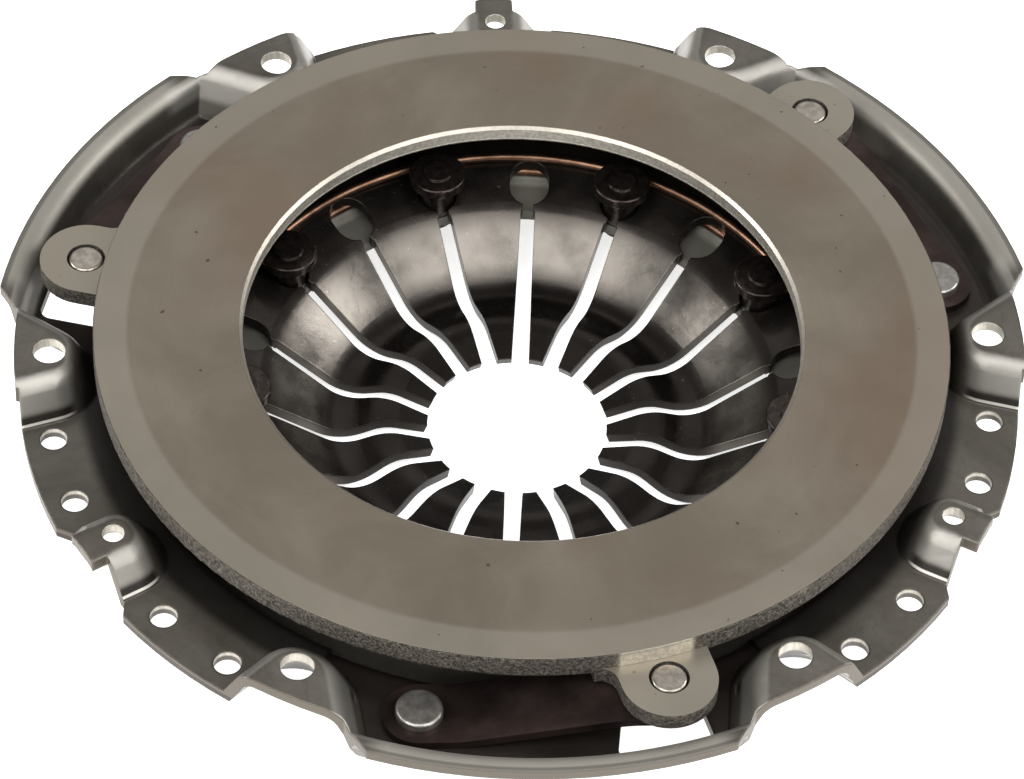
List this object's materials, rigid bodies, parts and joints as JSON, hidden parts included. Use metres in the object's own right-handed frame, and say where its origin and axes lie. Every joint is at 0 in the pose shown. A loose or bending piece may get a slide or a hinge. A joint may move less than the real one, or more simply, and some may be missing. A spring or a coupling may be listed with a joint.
{
  "type": "clutch pressure plate",
  "caption": "Diaphragm clutch cover assembly: pressed cover with bolting pads, cast friction ring on leaf straps, slotted diaphragm spring.",
  "frame": {"origin": "centre of the six-hole bolt circle, in the plane of the cover's bolting pads", "axes": "+Z along the clutch axis towards the flywheel; +Y through one of the three dowel pads"},
  "size_m": [0.2954, 0.2937, 0.0453],
  "materials": {
    "cover_steel": "pressed sheet with a dark phosphate coat, satin",
    "cast_plate": "ground friction face, rough-cast rim",
    "spring_steel": "hardened and tempered, dark brown-black oxide",
    "copper_wire": "copper-plated drawn wire",
    "strap_steel": "blued strip, satin",
    "rivet_steel": "plain headed steel"
  },
  "bodies": {
    "cover_assembly": {"cover": "cover_steel", "diaphragm_spring": "spring_steel", "fulcrum_ring_back": "copper_wire", "fulcrum_ring_front": "copper_wire", "fulcrum_rivet_1": "rivet_steel", "fulcrum_rivet_2": "rivet_steel", "fulcrum_rivet_3": "rivet_steel", "fulcrum_rivet_4": "rivet_steel", "fulcrum_rivet_5": "rivet_steel", "fulcrum_rivet_6": "rivet_steel", "fulcrum_rivet_7": "rivet_steel", "fulcrum_rivet_8": "rivet_steel", "fulcrum_rivet_9": "rivet_steel", "strap_1_leaf_1": "strap_steel", "strap_1_leaf_2": "strap_steel", "strap_1_leaf_3": "strap_steel", "strap_2_leaf_1": "strap_steel", "strap_2_leaf_2": "strap_steel", "strap_2_leaf_3": "strap_steel", "strap_3_leaf_1": "strap_steel", "strap_3_leaf_2": "strap_steel", "strap_3_leaf_3": "strap_steel", "strap_rivet_1": "rivet_steel", "strap_rivet_2": "rivet_steel", "strap_rivet_3": "rivet_steel"},
    "plate_assembly": {"lug_rivet_1": "rivet_steel", "lug_rivet_2": "rivet_steel", "lug_rivet_3": "rivet_steel", "pressure_plate": "cast_plate"}
  },
  "joints": [
    {"name": "plate_lift", "type": "slide", "parent": "cover_assembly", "child": "plate_assembly", "axis": [0, 0, 1], "range_m": [-0.008, 0], "stiffness_N_per_m": 40000, "springref_m": 0.002, "deforming": ["diaphragm_spring", "strap_1_leaf_1", "strap_1_leaf_2", "strap_1_leaf_3", "strap_2_leaf_1", "strap_2_leaf_2", "strap_2_leaf_3", "strap_3_leaf_1", "strap_3_leaf_2", "strap_3_leaf_3"]}
  ]
}
